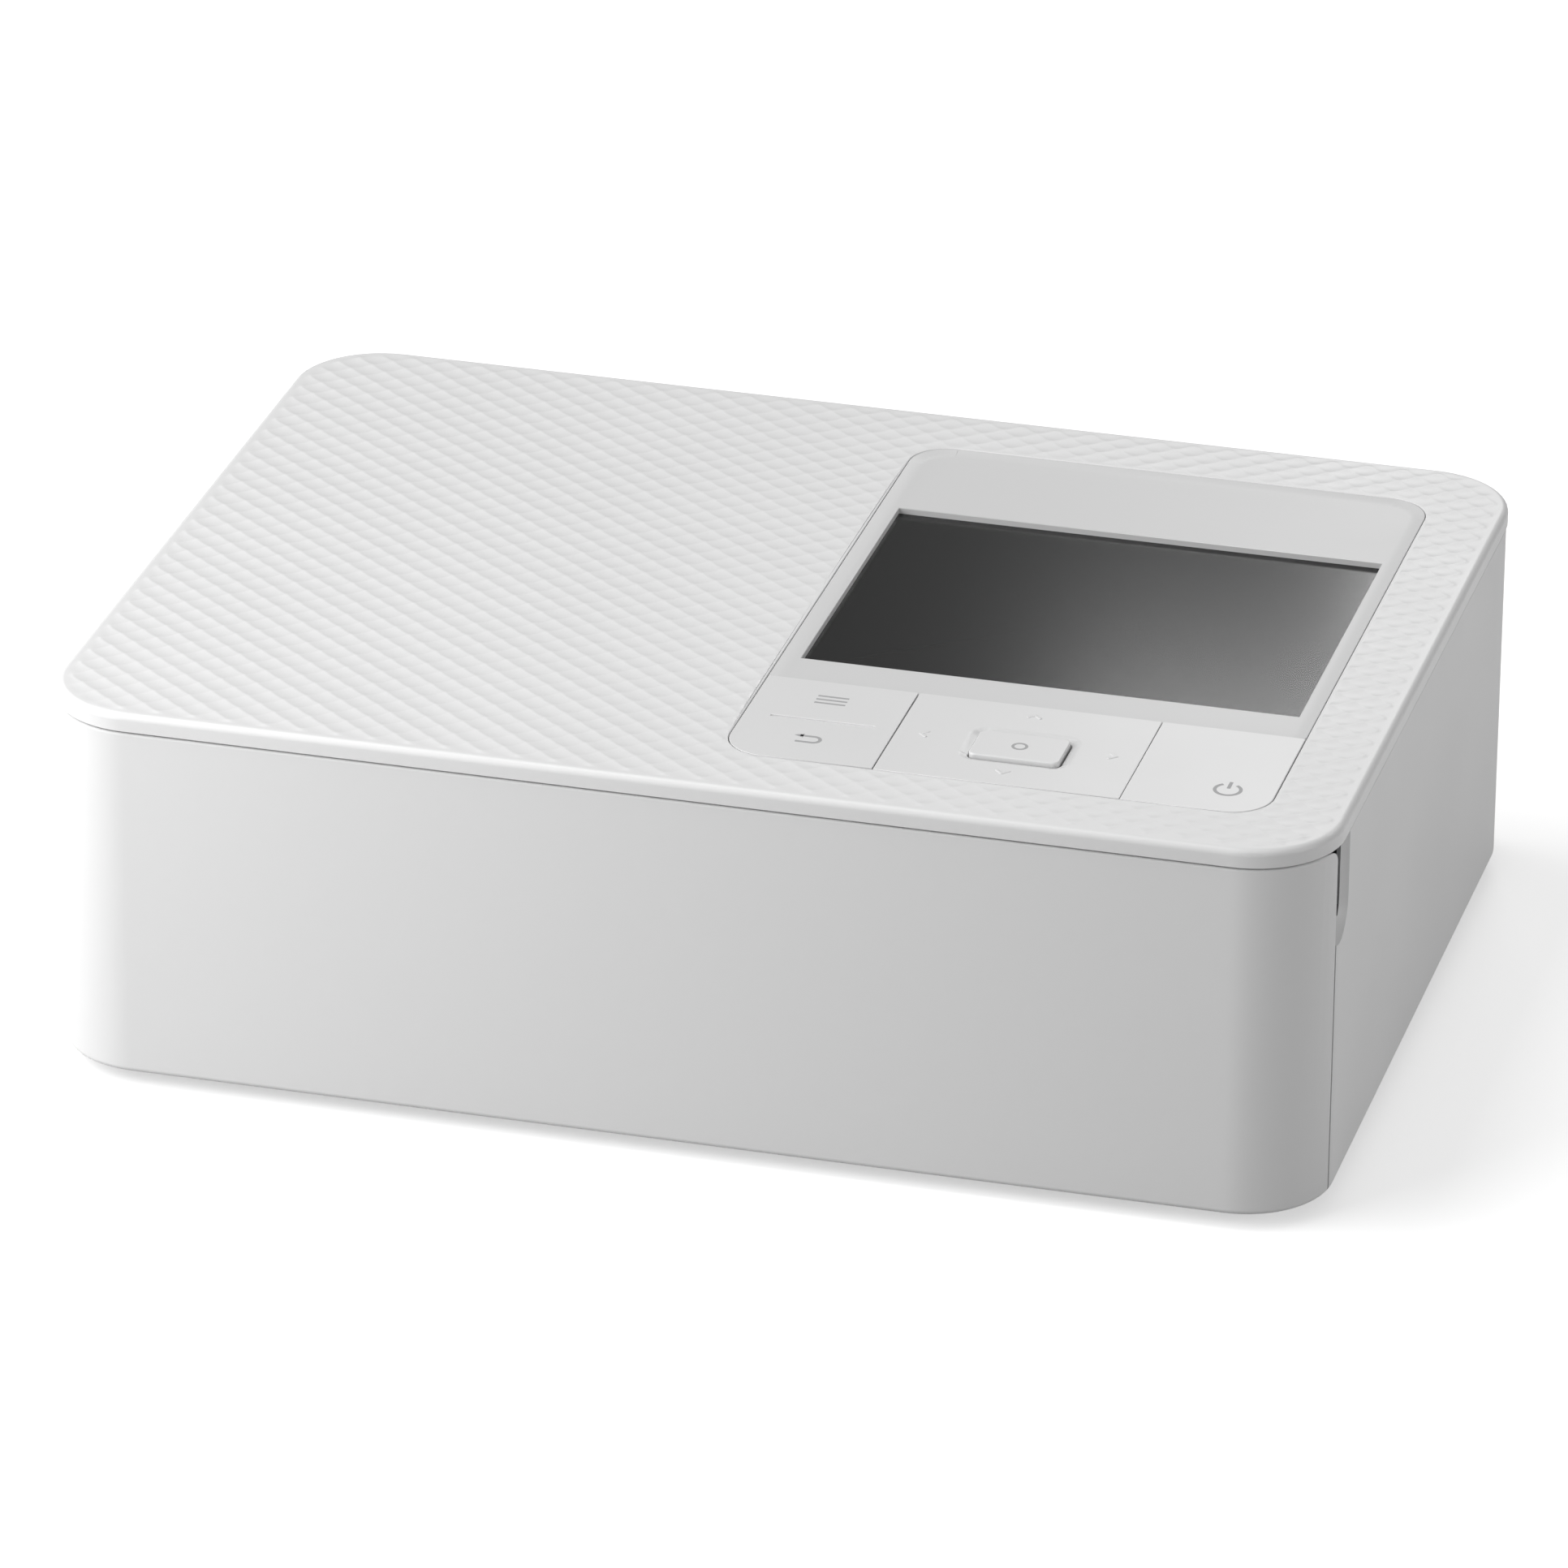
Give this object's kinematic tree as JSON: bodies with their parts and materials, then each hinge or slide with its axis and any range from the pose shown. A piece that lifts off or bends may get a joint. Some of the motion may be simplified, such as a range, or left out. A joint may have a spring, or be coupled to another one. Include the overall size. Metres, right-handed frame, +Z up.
{
  "type": "compact photo printer",
  "caption": "Compact dye-sublimation photo printer: low box with rounded corners, patterned top, display and flush keys, fold-down front cover and side door.",
  "frame": {"origin": "centre of the footprint, on the surface the feet stand on", "axes": "+X to the right side (the ink door), -Y to the front cover, +Z up"},
  "size_m": [0.1822, 0.133, 0.0576],
  "materials": {
    "white_shell": "fine moulded texture",
    "patterned_shell": "raised diamond pattern",
    "pale_shell": "fine moulded texture",
    "inner_plastic": "moulded",
    "dark_plastic": "moulded",
    "bezel_plastic": "satin moulded",
    "key_plastic": "satin moulded",
    "window": "clear, polished",
    "lcd": "dark display",
    "rubber": "matt",
    "steel": "zinc plated",
    "shaft_steel": "ground",
    "bush": "acetal",
    "gear": "acetal",
    "brass": "turned",
    "motor_can": "zinc plated",
    "head_ceramic": "glazed ceramic",
    "heatsink": "extruded",
    "cassette": "moulded",
    "spool": "moulded",
    "ribbon": "dye film",
    "ribbon_used": "dye film",
    "circuit_board": "solder mask",
    "chips": "moulded",
    "domes": "stamped",
    "screws": "zinc plated"
  },
  "bodies": {
    "case": {"base_tray": "pale_shell", "rubber_feet": "rubber", "rear_housing": "pale_shell", "top_cover": "patterned_shell", "front_fascia": "inner_plastic", "side_fascia": "inner_plastic", "front_cover_hinge_pins": "shaft_steel", "ink_door_hinge_pins": "shaft_steel", "display_bezel": "bezel_plastic", "display_window": "window", "lcd_module": "lcd", "key_carrier": "inner_plastic", "key_board": "circuit_board", "key_domes": "domes", "left_frame": "steel", "right_frame": "steel", "tie_bars": "shaft_steel", "paper_deck": "inner_plastic", "motor_plate": "steel", "roller_bushes": "bush", "ribbon_motor": "motor_can", "feed_motor": "motor_can", "head_arm_shaft": "shaft_steel", "main_board": "circuit_board", "board_parts": "chips", "dc_inlet": "dark_plastic", "usb_socket": "steel", "card_socket": "steel", "case_screws": "screws", "frame_screws": "screws"},
    "front_cover": {"front_cover": "white_shell"},
    "ink_door": {"ink_door": "white_shell"},
    "slot_shutter": {"slot_shutter": "inner_plastic"},
    "eject_lever": {"eject_lever": "dark_plastic"},
    "menu_back_key": {"menu_back_key": "key_plastic"},
    "nav_tilt_ring": {"nav_tilt_ring": "inner_plastic"},
    "nav_key": {"nav_key": "key_plastic"},
    "ok_key": {"ok_key": "key_plastic"},
    "power_key": {"power_key": "key_plastic"},
    "platen": {"platen_shaft": "shaft_steel", "platen_sleeve": "rubber"},
    "grip_roller": {"grip_roller": "shaft_steel", "grip_gear": "gear"},
    "pinch_roller": {"pinch_roller": "shaft_steel"},
    "pickup_roller": {"pickup_shaft": "shaft_steel", "pickup_tyres": "rubber", "pickup_gear": "gear"},
    "idler_gear": {"idler_gear": "gear"},
    "takeup_gear": {"takeup_gear": "gear"},
    "ribbon_pinion": {"ribbon_pinion": "brass"},
    "feed_pinion": {"feed_pinion": "brass"},
    "print_head": {"head_arm": "steel", "thermal_head": "head_ceramic", "head_heatsink": "heatsink"},
    "ink_cassette": {"cassette_shell": "cassette", "ribbon_web": "ribbon"},
    "supply_reel": {"supply_spool": "spool", "supply_roll": "ribbon"},
    "takeup_reel": {"takeup_spool": "spool", "takeup_roll": "ribbon_used"}
  },
  "joints": [
    {"name": "front_cover_hinge", "type": "hinge", "parent": "case", "child": "front_cover", "pos_m": [0, -0.0634, 0.0044], "axis": [1, 0, 0], "range_deg": [0, 90]},
    {"name": "ink_door_hinge", "type": "hinge", "parent": "case", "child": "ink_door", "pos_m": [0.088, 0, 0.0044], "axis": [0, 1, 0], "range_deg": [0, 90]},
    {"name": "slot_shutter_hinge", "type": "hinge", "parent": "case", "child": "slot_shutter", "pos_m": [0.008, -0.0596, 0.022], "axis": [1, 0, 0], "range_deg": [0, 80], "stiffness_Nm_per_rad": 0.002},
    {"name": "eject_lever_pivot", "type": "hinge", "parent": "case", "child": "eject_lever", "pos_m": [0.0813, 0.0515, 0.031], "axis": [0, 1, 0], "range_deg": [-12, 0], "stiffness_Nm_per_rad": 0.02},
    {"name": "menu_back_rock", "type": "hinge", "parent": "case", "child": "menu_back_key", "pos_m": [0.01463, -0.04225, 0.0543], "axis": [1, 0, 0], "range_deg": [-1.5, 1.5], "stiffness_Nm_per_rad": 0.5},
    {"name": "nav_tilt_x", "type": "hinge", "parent": "case", "child": "nav_tilt_ring", "pos_m": [0.04275, -0.04225, 0.0543], "axis": [1, 0, 0], "range_deg": [-1.1, 1.1], "stiffness_Nm_per_rad": 0.5},
    {"name": "nav_tilt_y", "type": "hinge", "parent": "nav_tilt_ring", "child": "nav_key", "pos_m": [0.04275, -0.04225, 0.0543], "axis": [0, 1, 0], "range_deg": [-1.1, 1.1], "stiffness_Nm_per_rad": 0.5},
    {"name": "ok_press", "type": "slide", "parent": "case", "child": "ok_key", "axis": [0, 0, -1], "range_m": [0, 0.0005], "stiffness_N_per_m": 2500},
    {"name": "power_press", "type": "slide", "parent": "case", "child": "power_key", "axis": [0, 0, -1], "range_m": [0, 0.0005], "stiffness_N_per_m": 2500},
    {"name": "platen_spin", "type": "hinge", "parent": "case", "child": "platen", "pos_m": [0, 0.016, 0.02], "axis": [1, 0, 0], "continuous": true},
    {"name": "grip_spin", "type": "hinge", "parent": "case", "child": "grip_roller", "pos_m": [0, 0.054, 0.02095], "axis": [1, 0, 0], "continuous": true},
    {"name": "pinch_spin", "type": "hinge", "parent": "case", "child": "pinch_roller", "pos_m": [0, 0.054, 0.0281], "axis": [1, 0, 0], "continuous": true},
    {"name": "feed_pinion_spin", "type": "hinge", "parent": "case", "child": "feed_pinion", "pos_m": [0, 0.04551, 0.02944], "axis": [1, 0, 0], "continuous": true},
    {"name": "pickup_spin", "type": "hinge", "parent": "case", "child": "pickup_roller", "pos_m": [0, -0.022, 0.027], "axis": [1, 0, 0], "continuous": true},
    {"name": "idler_spin", "type": "hinge", "parent": "case", "child": "idler_gear", "pos_m": [0, -0.01926, 0.04032], "axis": [1, 0, 0], "continuous": true},
    {"name": "takeup_gear_spin", "type": "hinge", "parent": "case", "child": "takeup_gear", "pos_m": [0, -0.004, 0.0355], "axis": [1, 0, 0], "continuous": true},
    {"name": "ribbon_pinion_spin", "type": "hinge", "parent": "case", "child": "ribbon_pinion", "pos_m": [0, 0.0104, 0.0355], "axis": [1, 0, 0], "continuous": true},
    {"name": "head_lift", "type": "hinge", "parent": "case", "child": "print_head", "pos_m": [0.008, 0.057, 0.0475], "axis": [1, 0, 0], "range_deg": [0, 4.5]},
    {"name": "cassette_pop_out", "type": "slide", "parent": "case", "child": "ink_cassette", "axis": [1, 0, 0], "range_m": [0, 0.003]},
    {"name": "supply_reel_spin", "type": "hinge", "parent": "ink_cassette", "child": "supply_reel", "pos_m": [0, 0.036, 0.0355], "axis": [1, 0, 0], "continuous": true},
    {"name": "takeup_reel_spin", "type": "hinge", "parent": "ink_cassette", "child": "takeup_reel", "pos_m": [0, -0.004, 0.0355], "axis": [1, 0, 0], "continuous": true}
  ],
  "couplings": [
    {"joint": "feed_pinion_spin", "follows": "grip_spin", "ratio": -3},
    {"joint": "pinch_spin", "follows": "grip_spin", "ratio": -1.3333},
    {"joint": "idler_spin", "follows": "pickup_spin", "ratio": -1.125},
    {"joint": "takeup_gear_spin", "follows": "pickup_spin", "ratio": 0.75},
    {"joint": "ribbon_pinion_spin", "follows": "pickup_spin", "ratio": -1.5},
    {"joint": "takeup_reel_spin", "follows": "pickup_spin", "ratio": 0.75},
    {"joint": "supply_reel_spin", "follows": "pickup_spin", "ratio": 0.51429}
  ]
}
